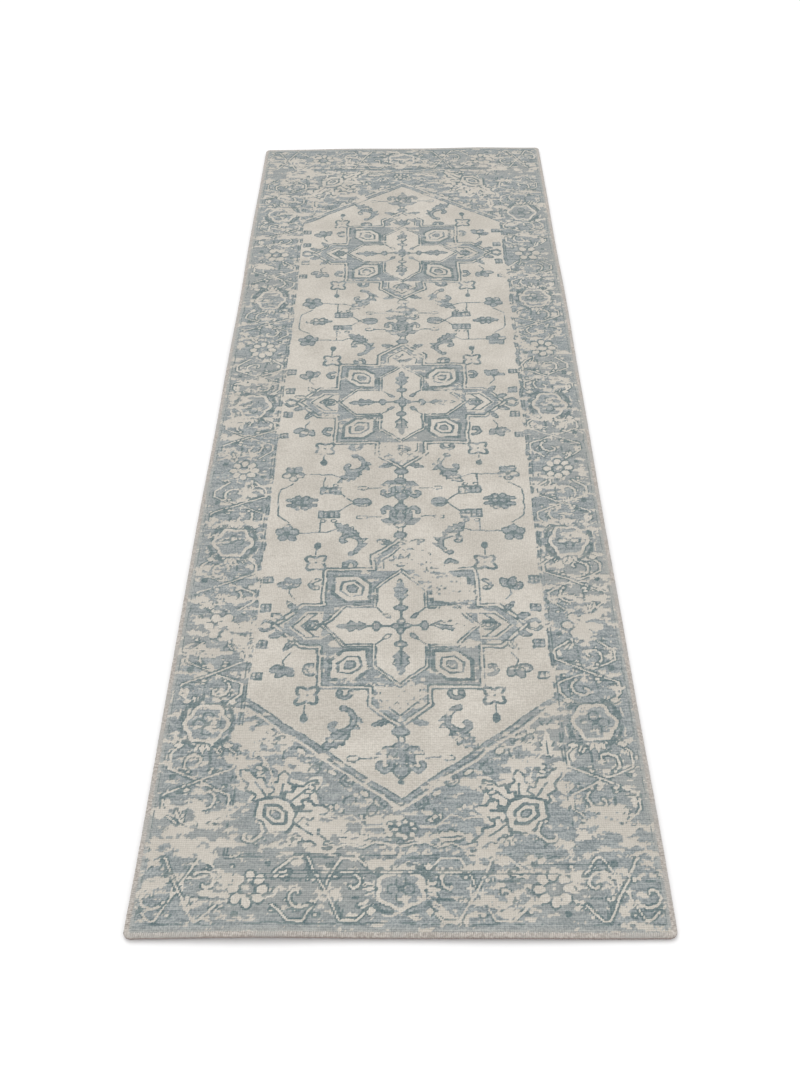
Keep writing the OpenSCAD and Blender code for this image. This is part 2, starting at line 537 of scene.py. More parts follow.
def draw_side_border(at):
    """A side border. x runs in from the rug's edge and y up from the near end."""
    flowers = [385 + 219.5 * k - 0.5 * k * k for k in range(9)]
    draw_crossing(inside(at, BORDER_MIDDLE, flowers[0] - 116), 116)
    draw_crossing(inside(at, BORDER_MIDDLE, flowers[-1] + 116), 116)
    for low, high in zip(flowers, flowers[1:]):
        draw_crossing(inside(at, BORDER_MIDDLE, (low + high) / 2), (high - low) / 2)
    for k, y in enumerate(flowers):
        spot = inside(at, BORDER_MIDDLE, y, 180 if k > 4 else 0)
        if k % 2 == 0:
            draw_palmette(spot, crowned=k in (2, 6))
        elif k in (1, 7):
            draw_rosette(spot, 6, 22, 10)
        else:
            draw_rosette(spot)


def draw_end_border(at):
    """Half of an end border, with the rug's corner at the point."""
    middle, flower = 76, 173
    for x, reach in (((AXIS + flower) / 2, (AXIS - flower) / 2), (flower - 104, 96)):
        draw_crossing(inside(at, x, middle, -90), reach)
    draw_rosette(inside(at, flower, middle))
    draw_palmette(inside(at, AXIS, middle, -90, 0.94))


def draw_border():
    for sx, x in ((1, 0), (-1, RUG_W)):
        draw_side_border(place(x, 0, sx, 1))
        for sy, y in ((1, 0), (-1, RUG_L)):
            draw_end_border(place(x, y, sx, sy))


def draw_cartoon():
    draw_grounds()
    for sx in (1, -1):
        for sy, y in ((1, 0), (-1, RUG_L)):
            draw_spandrel(place(AXIS - sx * AXIS, y, sx, sy))
        draw_gable_band(place(AXIS, APEX_NEAR, sx, 1))
        draw_gable_band(place(AXIS, APEX_FAR, sx, -1))
    draw_border()
    draw_field()


# === Wear: the knots that are rubbed down to pale stubs, in bands across the rug and in patches
rng = np.random.default_rng(20)
knot_x = (np.arange(COLUMNS) + 0.5) * RUG_W / COLUMNS
knot_y = (np.arange(ROWS) + 0.5) * RUG_L / ROWS


def noise(across, along, x=knot_x, y=knot_y):
    """Smooth noise from 0 to 1 over the knots, with blobs of that size in millimetres."""
    nodes = rng.uniform(0, 1, (int(RUG_L / along) + 3, int(RUG_W / across) + 3))
    u, v = x / across, y / along
    i, j = u.astype(int), v.astype(int)
    a, b = u - i, (v - j)[:, None]
    a, b = a * a * (3 - 2 * a), b * b * (3 - 2 * b)
    low = nodes[j][:, i] * (1 - a) + nodes[j][:, i + 1] * a
    high = nodes[j + 1][:, i] * (1 - a) + nodes[j + 1][:, i + 1] * a
    return low * (1 - b) + high * b


def patch(x, y, rx, ry):
    """1 at the middle of a worn patch, falling to 0 at its rim."""
    d = ((knot_x[None, :] - x) / rx) ** 2 + ((knot_y[:, None] - y) / ry) ** 2
    return np.exp(-d ** 2)


# Patches of heavy wear: x, y, reach across, reach along, strength
WORN_PATCHES = [
    (735, 188, 52, 34, 1.1), (575, 52, 130, 28, 0.6), (660, 215, 60, 30, 0.3), (330, 180, 130, 26, 0.45),
    (200, 262, 55, 22, 0.2), (60, 150, 60, 36, 0.5), (70, 215, 70, 16, 0.5), (120, 160, 30, 60, 0.4),
    (150, 340, 60, 50, 0.35), (64, 545, 70, 26, 0.75), (60, 604, 64, 34, 0.65), (62, 668, 68, 18, 0.8),
    (66, 960, 50, 26, 0.3), (60, 1345, 66, 12, 0.7), (62, 1535, 70, 14, 0.75), (62, 1845, 76, 14, 0.7),
    (62, 1985, 76, 14, 0.7), (60, 2200, 70, 30, 0.4), (745, 600, 50, 40, 0.75), (730, 668, 66, 20, 0.6),
    (720, 965, 46, 40, 0.55), (735, 1350, 66, 12, 0.7), (738, 1540, 66, 14, 0.55), (735, 1800, 66, 30, 0.35),
    (735, 1985, 70, 12, 0.7), (735, 2140, 66, 26, 0.3), (420, 790, 50, 36, 1.0), (470, 735, 60, 46, 0.9),
    (210, 640, 60, 14, 0.25), (530, 560, 70, 14, 0.5), (240, 575, 60, 30, 0.3), (400, 440, 60, 22, 1.0),
    (400, 1100, 60, 30, 0.9), (520, 1300, 60, 40, 0.6), (440, 1440, 70, 24, 0.8), (290, 1300, 50, 30, 0.5),
    (400, 2090, 60, 20, 0.8), (540, 2000, 50, 24, 0.6), (250, 2200, 90, 40, 0.35), (560, 2230, 90, 40, 0.35),
    (420, 2400, 260, 26, 0.4), (130, 2330, 70, 50, 0.35), (680, 2330, 70, 50, 0.35), (480, 335, 60, 24, 0.2),
    (400, 1000, 60, 30, 0.5), (390, 1640, 60, 50, 0.5), (320, 390, 40, 20, 0.15), (505, 668, 56, 44, 0.7),
    (500, 606, 60, 16, 0.5), (345, 478, 60, 30, 0.3), (470, 486, 50, 20, 0.3), (330, 1210, 60, 30, 0.4),
    (480, 1375, 60, 30, 0.4), (340, 1830, 60, 30, 0.4), (470, 1960, 60, 30, 0.4),
    (215, 225, 75, 60, -0.35), (585, 225, 75, 60, -0.35),
]
# Bands that are rubbed right across both side borders: y, reach along, strength
WORN_BANDS = [(878, 9, 0.9), (1195, 20, 0.6), (735, 6, 0.3), (1440, 8, 0.4), (2060, 8, 0.3), (2290, 14, 0.4)]

# The part of the knots that is rubbed pale, before the patches and bands
BORDER_WEAR, GABLE_WEAR, FIELD_WEAR = 0.20, 0.27, 0.10
FAR_WEAR = 0.04                 # added to the border towards the far end
GUARD_WEAR, GUARD_REACH = 0.2, 9     # added along the guards
PATCH_WEAR = 0.5                # added by a patch or band of strength 1
MOST_WEAR = 0.85
EDGE_SPARED, EDGE_REACH = 0.7, 17    # how much less the rug's very edge is rubbed, and how far in

# Noises that pick the knots: layers of weight, size across and size along
WEAR_NOISE = ((0.28, 48, 14), (0.34, 22, 9), (0.28, 11, 6), (0.10, 6, 4))
DEEP_WEAR_NOISE = ((0.5, 15, 9), (0.5, 7, 5))
PALE_NOISE = ((0.4, 40, 20), (0.4, 16, 10), (0.2, 8, 5))
STAIN_NOISE = ((0.3, 30, 12), (0.5, 13, 8), (0.2, 7, 5))
PART_BETWEEN = 0.02             # the part of the knots that is neither picked nor left, but between
RUBBED_AWAY = 0.96              # how much of its colour a rubbed knot loses
STRAY_SLOW, STRAY_QUICK = 4.5, 1.8   # how far the lines stray, over some centimetres and over a few knots
# Rows of knots along which a weft is pulled tight, where the pile dips and painted shade darkens the knots to
# slate: y, and the x where it starts and ends
PULLED_ROWS = [(109, 230, 520), (103, 190, 640), (96, 170, 330), (118, 590, 720)]


def edge_distance():
    """How far each knot lies from the rug's edge."""
    dx, dy = knot_x[None, :], knot_y[:, None]
    return np.minimum(np.minimum(dx, RUG_W - dx), np.minimum(dy, RUG_L - dy))


def density():
    """How much of each part of the rug is rubbed pale: the border and the corners more than the field."""
    dx, dy = np.abs(knot_x[None, :] - AXIS), knot_y[:, None]
    side = dx > AXIS - FIELD_IN
    end = (dy < FIELD_END) | (dy > RUG_L - FIELD_END)
    slope = (SHOULDER - APEX_NEAR) / (AXIS - FIELD_IN)
    gable = (dy < APEX_NEAR + slope * dx) | (dy > APEX_FAR - slope * dx)
    far = dy / RUG_L
    spread = np.where(side | end, BORDER_WEAR + FAR_WEAR * far, np.where(gable, GABLE_WEAR, FIELD_WEAR))
    for distance, guard in ((dx, AXIS - FIELD_IN), (dy, FIELD_END)):
        spread = spread + GUARD_WEAR * bump(distance, guard, GUARD_REACH)
    for x, y, rx, ry, strength in WORN_PATCHES:
        spread = spread + PATCH_WEAR * strength * patch(x, y, rx, ry)
    for y, reach, strength in WORN_BANDS:
        spread = spread + PATCH_WEAR * strength * bump(dy, y, reach) * side
    return spread.clip(0, MOST_WEAR) * (1 - EDGE_SPARED * bump(edge_distance(), 0, EDGE_REACH))


def steps(across, along):
    """Noise in blocks of whole knots, of about that size in millimetres, with a step from one to the next."""
    wide, long = max(round(across * COLUMNS / RUG_W), 1), max(round(along * ROWS / RUG_L), 1)
    nodes = rng.uniform(0, 1, (ROWS // long + 2, COLUMNS // wide + 2))
    shift = rng.integers(0, wide, ROWS // long + 2)
    rows = np.arange(ROWS) // long
    columns = (np.arange(COLUMNS)[None, :] + shift[rows][:, None]) // wide
    return nodes[rows[:, None], columns]


def ranked(layers):
    """The knots in order of a noise, from 0 to 1, with some whole-knot blocks and grain in it."""
    total = sum(weight * noise(across, along) for weight, across, along in layers)
    total = total + 0.13 * steps(13, 5) + 0.10 * steps(5, 8) + 0.05 * rng.uniform(-1, 1, total.shape)
    return total.ravel().argsort().argsort().reshape(total.shape) / total.size


def picked(rank, part):
    """1 on that part of the knots, the last in order, and 0 elsewhere."""
    return ((rank - (1 - part)) / PART_BETWEEN + 0.5).clip(0, 1)


def wander():
    """The cartoon as it was knotted: its lines stray a little from place to place."""
    shifts = []
    for cell in CELL:
        slow, quick = noise(42, 34, cell_x, cell_y), noise(12, 9, cell_x, cell_y)
        shifts.append((STRAY_SLOW * (slow - 0.5) + STRAY_QUICK * (quick - 0.5)) / cell)
    columns = (np.arange(COLUMNS * FINE)[None, :] + shifts[0]).astype(int).clip(0, COLUMNS * FINE - 1)
    rows = (np.arange(ROWS * FINE)[:, None] + shifts[1]).astype(int).clip(0, ROWS * FINE - 1)
    return cartoon[rows, columns]


def pulled():
    """1 on the rows of knots where a weft is pulled tight, and 0 elsewhere."""
    tight = np.zeros((ROWS, COLUMNS))
    for y, start, end in PULLED_ROWS:
        tight[int(y / RUG_L * ROWS), (knot_x > start) & (knot_x < end)] = 1
    return tight


def share(drawing, yarns):
    """How much of each knot the drawing gives to those yarns."""
    return np.isin(drawing, yarns).reshape(ROWS, FINE, COLUMNS, FINE).mean((1, 3))


def knots():
    """For each knot: how far it is from cream, how far towards slate, and how rubbed it is."""
    spread = density()
    order = ranked(WEAR_NOISE)
    rubbed = picked(order, spread)
    deep_order = 0.72 * order + 0.28 * ranked(DEEP_WEAR_NOISE)
    worn_through = picked(deep_order, 0.5 * spread + 0.6 * (spread - 0.3).clip(0))
    pale = picked(ranked(PALE_NOISE), 0.24 + 0.42 * spread)
    stained = picked(ranked(STAIN_NOISE), 0.04 + 0.3 * (spread - FIELD_WEAR))
    drawing = wander()
    grey = ((share(drawing, [GREY, SLATE]) - 0.12) / 0.62).clip(0, 1)
    slate = ((share(drawing, [SLATE]) - 0.14) / 0.56).clip(0, 1)
    grey = np.maximum(grey, 0.9 * stained * (grey > 0.1))
    slate = slate * (1 - 0.52 * pale)
    # Painted shade: the knots along the pulled rows are darkened to slate
    slate = np.maximum(slate * (1 - RUBBED_AWAY * worn_through), 0.78 * pulled())
    grey = np.maximum(grey * (1 - RUBBED_AWAY * rubbed), slate)
    rolled = bump(edge_distance(), 4, 9)
    rubbed = np.maximum(rubbed * (1 - 0.7 * slate), 0.9 * rolled)
    return grey * (1 - 0.2 * rolled), slate * (1 - rolled), rubbed


# === How the rug lies: it touches the floor nearly everywhere, and its edges lift and wander a little

def bump(x, middle, reach):
    """1 at the middle, falling smoothly to 0 on both sides."""
    return np.exp(-((x - middle) / reach) ** 2)


def settle(p):
    """Where points of the flat rug, in millimetres from its corner, end up when it lies on the floor."""
    x, y, z = p[:, 0], p[:, 1], p[:, 2]
    # How high each edge lifts, how far in, and where along it
    near = 3.4 * bump(y, 0, 60) * (bump(x, 190, 120) + 0.7 * bump(x, 560, 130))
    far = 2.2 * bump(y, RUG_L, 60) * (bump(x, 250, 120) + bump(x, 620, 90))
    left = 1.8 * bump(x, 0, 45) * (bump(y, 620, 160) + bump(y, 1480, 200) + bump(y, 2150, 120))
    right = 1.8 * bump(x, RUG_W, 45) * (bump(y, 900, 200) + bump(y, 1750, 220))
    body = 0.5 * (1 + np.sin(y / 97 + 1.3 * np.sin(x / 160)))
    sway = 1.0 * np.sin(y / 210 + 0.6) + 0.5 * np.sin(y / 83)
    bow = 1.2 * np.sin(x / 150 + 0.4) * (bump(y, 0, 300) - bump(y, RUG_L, 300))
    return np.stack([x + sway, y + bow, z + near + far + left + right + body], 1)


# === Meshes

def build(name, points, faces):
    """An object from points in the rug's millimetres, laid on the floor, and faces as arrays of corners."""
    placed = (settle(np.asarray(points, float)) + [RUG_LOW[0], RUG_LOW[1], 0]) * MM
    mesh = bpy.data.meshes.new(name)
    sizes = np.concatenate([np.full(len(f), f.shape[1]) for f in faces])
    corners = np.concatenate([f.ravel() for f in faces])
    mesh.vertices.add(len(placed))
    mesh.vertices.foreach_set("co", placed.astype(np.float32).ravel())
    mesh.loops.add(len(corners))
    mesh.loops.foreach_set("vertex_index", corners.astype(np.int32))
    mesh.polygons.add(len(sizes))
    mesh.polygons.foreach_set("loop_start", np.concatenate([[0], np.cumsum(sizes)[:-1]]).astype(np.int32))
    mesh.polygons.foreach_set("use_smooth", np.ones(len(sizes), bool))
    mesh.update(calc_edges=True)
    mesh.validate()
    piece = bpy.data.objects.new(name, mesh)
    bpy.context.scene.collection.objects.link(piece)
    return piece


def attribute(piece, name, values):
    """Gives each point of a piece a number that its material can read."""
    layer = piece.data.attributes.new(name, "FLOAT", "POINT")
    layer.data.foreach_set("value", np.asarray(values, np.float32))


def grid_faces(rows, columns, start=0, flip=False):
    """Quads between the points of a grid, facing up, or down when flipped."""
    i = (np.arange(rows - 1)[:, None] * columns + np.arange(columns - 1)[None, :]).ravel() + start
    quads = np.stack([i, i + 1, i + columns + 1, i + columns], 1)
    return quads[:, ::-1] if flip else quads


def rim(rows, columns, start=0):
    """The corners round the rim of a grid, in order."""
    index = np.arange(rows * columns).reshape(rows, columns) + start
    return np.concatenate([index[0, :-1], index[:-1, -1], index[-1, :0:-1], index[:0:-1, 0]])


def ring_faces(lower, upper):
    """Quads between two rings of the same number of corners, facing outwards."""
    return np.stack([lower, np.roll(lower, -1), np.roll(upper, -1), upper], 1)


def inset_ring(inset, z, xs, ys):
    """Points round the rug at that inset, spread as the rim of the grid of xs and ys."""
    far_x, far_y = RUG_W - inset, RUG_L - inset
    x = (xs - xs[0]) / (xs[-1] - xs[0]) * (RUG_W - 2 * inset) + inset
    y = (ys - ys[0]) / (ys[-1] - ys[0]) * (RUG_L - 2 * inset) + inset
    across, along = len(xs) - 1, len(ys) - 1
    ring_x = np.concatenate([x[:-1], np.full(along, far_x), x[:0:-1], np.full(along, inset)])
    ring_y = np.concatenate([np.full(across, inset), y[:-1], np.full(across, far_y), y[:0:-1]])
    points = np.stack([ring_x, ring_y], 1)
    r = max(CORNER_R - inset, 0.6)
    middle = points.clip(inset + r, [far_x - r, far_y - r])
    away = points - middle
    corner = (np.abs(away) > 1e-6).all(1)
    scale = r / np.linalg.norm(away[corner], axis=1)[:, None]
    points[corner] = middle[corner] + away[corner] * scale
    return np.column_stack([points, np.full(len(points), float(z))])


EDGE_KNOTS = 3          # knots of the grid that the overcasting stands for, at each side
COARSE = 5              # knots to a cell of the pile's flat underside
CUT = slice(EDGE_KNOTS, -EDGE_KNOTS)
TUFT_LOW = 0.25         # how far a tuft stays under the CAD pile's top
TUFT_UNEVEN, TUFT_WAVES = 0.35, 0.5    # how much the tufts differ, one by one and over a few knots
RUBBED_DROP = 1.0       # how much lower a rubbed knot is
SLATE_RISE = 0.25       # how much a slate knot stands out
RIM_DROP = 0.7          # how far the pile is pressed down beside the overcasting
PULLED_DROP = 0.6       # how far a tight weft pulls the pile down
PILE_INSET = 7.1        # where the pile's side stands, inside the overcasting
PILE_FOOT = PILE_LOW[2] + 0.1
UNDER_INSET = 12        # where its flat underside starts


def pile_heights(slate, rubbed):
    """The height of each tuft, a little uneven."""
    tuft = rng.uniform(-TUFT_UNEVEN, TUFT_UNEVEN, slate[CUT, CUT].shape)
    tuft = tuft + TUFT_WAVES * (noise(13, 9)[CUT, CUT] - 0.5)
    height = PILE_TOP - TUFT_LOW + tuft - RUBBED_DROP * rubbed[CUT, CUT] + SLATE_RISE * slate[CUT, CUT]
    return height - RIM_DROP * bump(edge_distance()[CUT, CUT], 8, 3.5) - PULLED_DROP * pulled()[CUT, CUT]


def make_pile():
    """The knotted pile: one closed skin, with a top corner for every knot."""
    grey, slate, rubbed = knots()
    xs, ys = knot_x[CUT], knot_y[CUT]
    gx, gy = np.meshgrid(xs, ys)
    top = np.column_stack([gx.ravel(), gy.ravel(), pile_heights(slate, rubbed).ravel()])
    count = len(top)
    side = (PILE_INSET + 0.3, BIND_H - 0.9), (PILE_INSET, PILE_LOW[2] + 2.0), (PILE_INSET, PILE_FOOT)
    rings = [inset_ring(inset, z, xs, ys) for inset, z in side]
    length = len(rings[0])
    under_x, under_y = xs[::COARSE], ys[::COARSE]
    ux, uy = np.meshgrid(under_x, under_y)
    under = np.column_stack([ux.ravel().clip(UNDER_INSET, RUG_W - UNDER_INSET),
                             uy.ravel().clip(UNDER_INSET, RUG_L - UNDER_INSET), np.full(ux.size, PILE_FOOT)])
    under_start = count + len(rings) * length
    loops = [rim(len(ys), len(xs))] + [count + k * length + np.arange(length) for k in range(len(rings))]
    faces = [grid_faces(len(ys), len(xs))]
    faces += [ring_faces(low, high) for high, low in zip(loops, loops[1:])]
    faces.append(grid_faces(len(under_y), len(under_x), under_start, flip=True))
    faces.append(fan_faces(loops[-1], rim(len(under_y), len(under_x), under_start)))
    points = np.concatenate([top] + rings + [under])
    piece = build("pile_knots", points, faces)
    for name, values, elsewhere in (("grey", grey, 1.0), ("slate", slate, 0.0), ("rubbed", rubbed, 0.0)):
        hidden = np.full(len(points) - count, elsewhere)
        attribute(piece, name, np.concatenate([values[CUT, CUT].ravel(), hidden]))
    return piece


def fan_faces(fine, coarse):
    """Triangles between a fine ring and one with a corner to every few of its corners."""
    step = len(fine) // len(coarse)
    faces = []
    for i, corner in enumerate(coarse):
        following = coarse[(i + 1) % len(coarse)]
        f = [fine[(i * step + k) % len(fine)] for k in range(step + 1)]
        half = step // 2 + 1
        faces += [(corner, f[k + 1], f[k]) for k in range(half)]
        faces += [(corner, following, f[half])]
        faces += [(following, f[k + 1], f[k]) for k in range(half, step)]
    return np.array(faces)


def make_slab(name, low, high, inset, rough=0.0):
    """A thin sheet with rounded rims between two heights: a grid above and a grid below."""
    nx, ny = (round((span - 2 * inset) / SHEET_CELL) + 1 for span in (RUG_W, RUG_L))
    xs, ys = np.linspace(inset, RUG_W - inset, nx), np.linspace(inset, RUG_L - inset, ny)
    gx, gy = np.meshgrid(xs, ys)
    uneven = rough * np.sin(gx * 0.21 + 2 * np.sin(gy * 0.05)) * np.sin(gy * 0.17 + np.sin(gx * 0.04))
    upper = np.column_stack([gx.ravel(), gy.ravel(), (high + uneven).ravel()])
    lower = np.column_stack([gx.ravel(), gy.ravel(), np.full(gx.size, low)])
    middle = inset_ring(inset - 0.3 * (high - low), (low + high) / 2, xs, ys)
    count = nx * ny
    outer, inner = rim(ny, nx), rim(ny, nx, count)
    between = 2 * count + np.arange(len(middle))
    faces = [grid_faces(ny, nx), grid_faces(ny, nx, count, flip=True),
             ring_faces(between, outer), ring_faces(inner, between)]
    return build(name, np.concatenate([upper, lower, middle]), faces)


def unit(vectors):
    """The same vectors with a length of 1."""
    return vectors / np.linalg.norm(vectors, axis=1)[:, None]


def rings_round(path, along, side, wide, thick, sides):
    """A tube's rings: an oval round each point of the path, as wide as told towards side."""
    side = unit(side)
    over = np.cross(side, along)
    angles = np.arange(sides) * 2 * math.pi / sides
    rings = (path[:, None, :] + wide * np.cos(angles)[None, :, None] * side[:, None, :]
             + thick * np.sin(angles)[None, :, None] * over[:, None, :])
    return rings.reshape(-1, 3), len(path), sides


def tube(path, radius, sides):
    """The rings of a round tube along a path."""
    path = np.asarray(path, float)
    along = unit(np.gradient(path, axis=0))
    up = np.where(np.abs(along[:, 2:3]) > 0.9, [[1.0, 0, 0]], [[0, 0, 1.0]])
    return rings_round(path, along, np.cross(along, up), radius, radius, sides)


def tube_faces(length, sides, start=0):
    """The faces of a tube between its rings, and the caps at its ends."""
    i = np.arange(length - 1)[:, None] * sides
    k = np.arange(sides)[None, :]
    j = (k + 1) % sides
    quads = np.stack([i + k, i + sides + k, i + sides + j, i + j], 2).reshape(-1, 4) + start
    fan = np.arange(1, sides - 1)
    first = np.stack([np.zeros_like(fan), fan, fan + 1], 1) + start
    last = np.stack([np.zeros_like(fan), fan + 1, fan], 1) + start + (length - 1) * sides
    return quads, np.concatenate([first, last])


def build_tubes(name, tubes):
    """One object from several tubes."""
    points, quads, caps, start = [], [], [], 0
    for verts, length, sides in tubes:
        q, c = tube_faces(length, sides, start)
        points.append(verts)
        quads.append(q)
        caps.append(c)
        start += len(verts)
    return build(name, np.concatenate(points), [np.concatenate(quads), np.concatenate(caps)])


WEFT_STEP, WARP_STEP = 50, 40    # along a yarn, from one ring of its mesh to the next
STRAIGHT_SIDES = 5


def make_yarns(name, node, across, pitch):
    """The straight yarns of the foundation: wefts run across and warps run along."""
    low, high = box_mm(node)
    radius = (high[2] - low[2]) / 2
    z = (high[2] + low[2]) / 2
    low, high = low - RUG_LOW, high - RUG_LOW
    run, rank = (0, 1) if across else (1, 0)
    step = WEFT_STEP if across else WARP_STEP
    stations = np.linspace(low[run], high[run], round((high[run] - low[run]) / step) + 1)
    count = round((high[rank] - low[rank] - 2 * radius) / pitch) + 1
    tubes = []
    for offset in np.linspace(low[rank] + radius, high[rank] - radius, count):
        path = np.zeros((len(stations), 3))
        path[:, run] = stations
        path[:, rank] = offset
        path[:, 2] = z
        tubes.append(tube(path, radius, STRAIGHT_SIDES))
    return build_tubes(name, tubes)


# --- the edge

def edge_path(side):
    """Length of one run of the edge, and the function that gives its outer point and inward direction."""
    has_corners = side in ("left", "right")
    straight = (RUG_L if has_corners else RUG_W) - 2 * CORNER_R
    quarter = CORNER_R * math.pi / 2
    total = straight + 2 * quarter if has_corners else straight

    def corner(middle, angle):
        out = np.array([math.cos(angle), math.sin(angle)])
        return middle + CORNER_R * out, -out

    def left(s):
        low, high = np.array([CORNER_R, CORNER_R]), np.array([CORNER_R, RUG_L - CORNER_R])
        if s < quarter:
            return corner(low, -math.pi / 2 - s / CORNER_R)
        if s > quarter + straight:
            return corner(high, math.pi - (s - quarter - straight) / CORNER_R)
        return np.array([0, CORNER_R + s - quarter]), np.array([1.0, 0])

    def at(s):
        if side == "left":
            return left(s)
        if side == "right":
            point, inward = left(s)
            return np.array([RUG_W - point[0], point[1]]), inward * (-1, 1)
        y, way = (0, 1.0) if side == "near" else (RUG_L, -1.0)
        return np.array([CORNER_R + s, y]), np.array([0, way])
    return total, at


WRAP_PITCH = 3.1         # along the edge, from one turn of the yarn to the next
YARN_THICK, YARN_WIDE = 0.68, 1.5    # half its thickness, and half its width along the edge
YARN_SIDES = 7
START = 0.1              # the part of a turn that lies before the run's start
# One turn of the overcasting yarn, as inset from the edge and height, from below to above
WRAP_TURN = [(9.4, 3.4), (9.3, 1.8), (8.0, 0.8), (4.2, 0.72), (1.6, 1.25), (0.75, 3.0), (0.75, 5.0),
             (1.6, 6.7), (4.2, 7.3), (7.4, 7.2), (9.0, 6.2), (9.5, 4.8)]


def make_overcast(side):
    """One run of overcasting: a single yarn wound over the edge and back through the foundation."""
    total, at = edge_path(side)
    turns = int(total / WRAP_PITCH)
    per_turn = len(WRAP_TURN)
    path = []
    for k in range(turns * per_turn + 1):
        s = (k / per_turn - START) * total / (turns - START)
        inset, z = WRAP_TURN[k % per_turn]
        point, inward = at(s)
        turn = k // per_turn
        loose = 0.30 * math.sin(turn * 2.1) + 0.25 * math.sin(turn * 0.37) + 0.2 * math.sin(turn * 1.13)
        reach = inset + loose * (1 if inset > 5 else 0.35)
        path.append([*(point + inward * reach), z + (0.12 * loose if z > 4 else 0)])
    verts, length, sides = wrap_tube(np.array(path))
    piece = build_tubes("overcast_yarn_" + side, [(verts, length, sides)])
    attribute(piece, "height", verts[:, 2])
    return piece


def wrap_tube(path):
    """The rings of a yarn along a winding, wider along the edge than it is thick."""
    along = unit(np.gradient(path, axis=0))
    turns = len(WRAP_TURN)
    later = np.roll(path, -turns, 0)
    later[-turns:] = path[-turns:] + (path[-turns:] - path[-2 * turns:-turns])
    side = later - path
    side -= (side * along).sum(1)[:, None] * along
    return rings_round(path, along, side, YARN_WIDE, YARN_THICK, YARN_SIDES)


CORD_INSET = 4.0         # from the rug's edge to the middle of the cord
CORD_LAY = 22            # length of one turn of its plies
PLY_SHARE = 0.54         # radius of a ply, as a share of the cord's
PLY_STEP, PLY_SIDES = 4, 6    # along the ply, from one ring of its mesh to the next


def make_cord(side):
    """The edge cord inside the overcasting: two plies laid round each other."""
    total, at = edge_path(side)
    z = (CORD_LOW[2] + CORD_HIGH[2]) / 2
    ply = CORD_R * PLY_SHARE
    tubes = []
    stations = int(total / PLY_STEP)
    for phase in (0, math.pi):
        path = []
        for k in range(stations + 1):
            s = total * k / stations
            point, inward = at(min(s, total))
            turn = 2 * math.pi * s / CORD_LAY + phase
            inset = CORD_INSET + (CORD_R - ply) * math.cos(turn)
            path.append([*(point + inward * inset), z + (CORD_R - ply) * math.sin(turn)])
        tubes.append(tube(path, ply, PLY_SIDES))
    return build_tubes("cord_" + side, tubes)


# === Materials

def linear(r, g, b):
    """A screen colour from 0 to 255, none of it near black, as the shader's linear one."""
    return tuple(((c / 255 + 0.055) / 1.055) ** 2.4 for c in (r, g, b)) + (1,)


CREAM_WOOL, CREAM_WOOL_SHADE = linear(216, 210, 200), linear(190, 184, 174)
GREY_WOOL, GREY_WOOL_LIGHT = linear(122, 132, 135), linear(176, 180, 179)
GREY_WOOL_WARM = linear(160, 161, 157)
SLATE_WOOL, SLATE_WOOL_LIGHT = linear(91, 110, 114), linear(133, 145, 144)
WORN_WOOL = linear(203, 197, 187)
OVERCAST_WOOL, OVERCAST_WOOL_LIGHT = linear(156, 148, 141), linear(200, 193, 186)
OVERCAST_CLOUD, OVERCAST_PLY = linear(174, 172, 168), linear(212, 207, 199)
# Painted shade for the underside of the overcasting, near the floor
OVERCAST_PAINTED_SHADE = linear(122, 102, 94)
WARP_COTTON = linear(216, 208, 190), linear(190, 180, 160)      # light and dark
WEFT_COTTON = linear(210, 202, 186), linear(182, 172, 154)
CORD_COTTON = linear(208, 198, 178), linear(178, 166, 144)
CLOTH_COTTON = linear(214, 203, 180), linear(178, 166, 142)
LATEX = linear(212, 202, 178), linear(196, 184, 158)
FLOOR_PAINT = linear(247, 247, 247), linear(244, 244, 244)

RIB = 3.4 * MM            # pitch of the weave's ribs
CLOTH_THREAD = 1.3 * MM   # pitch of the backing's threads


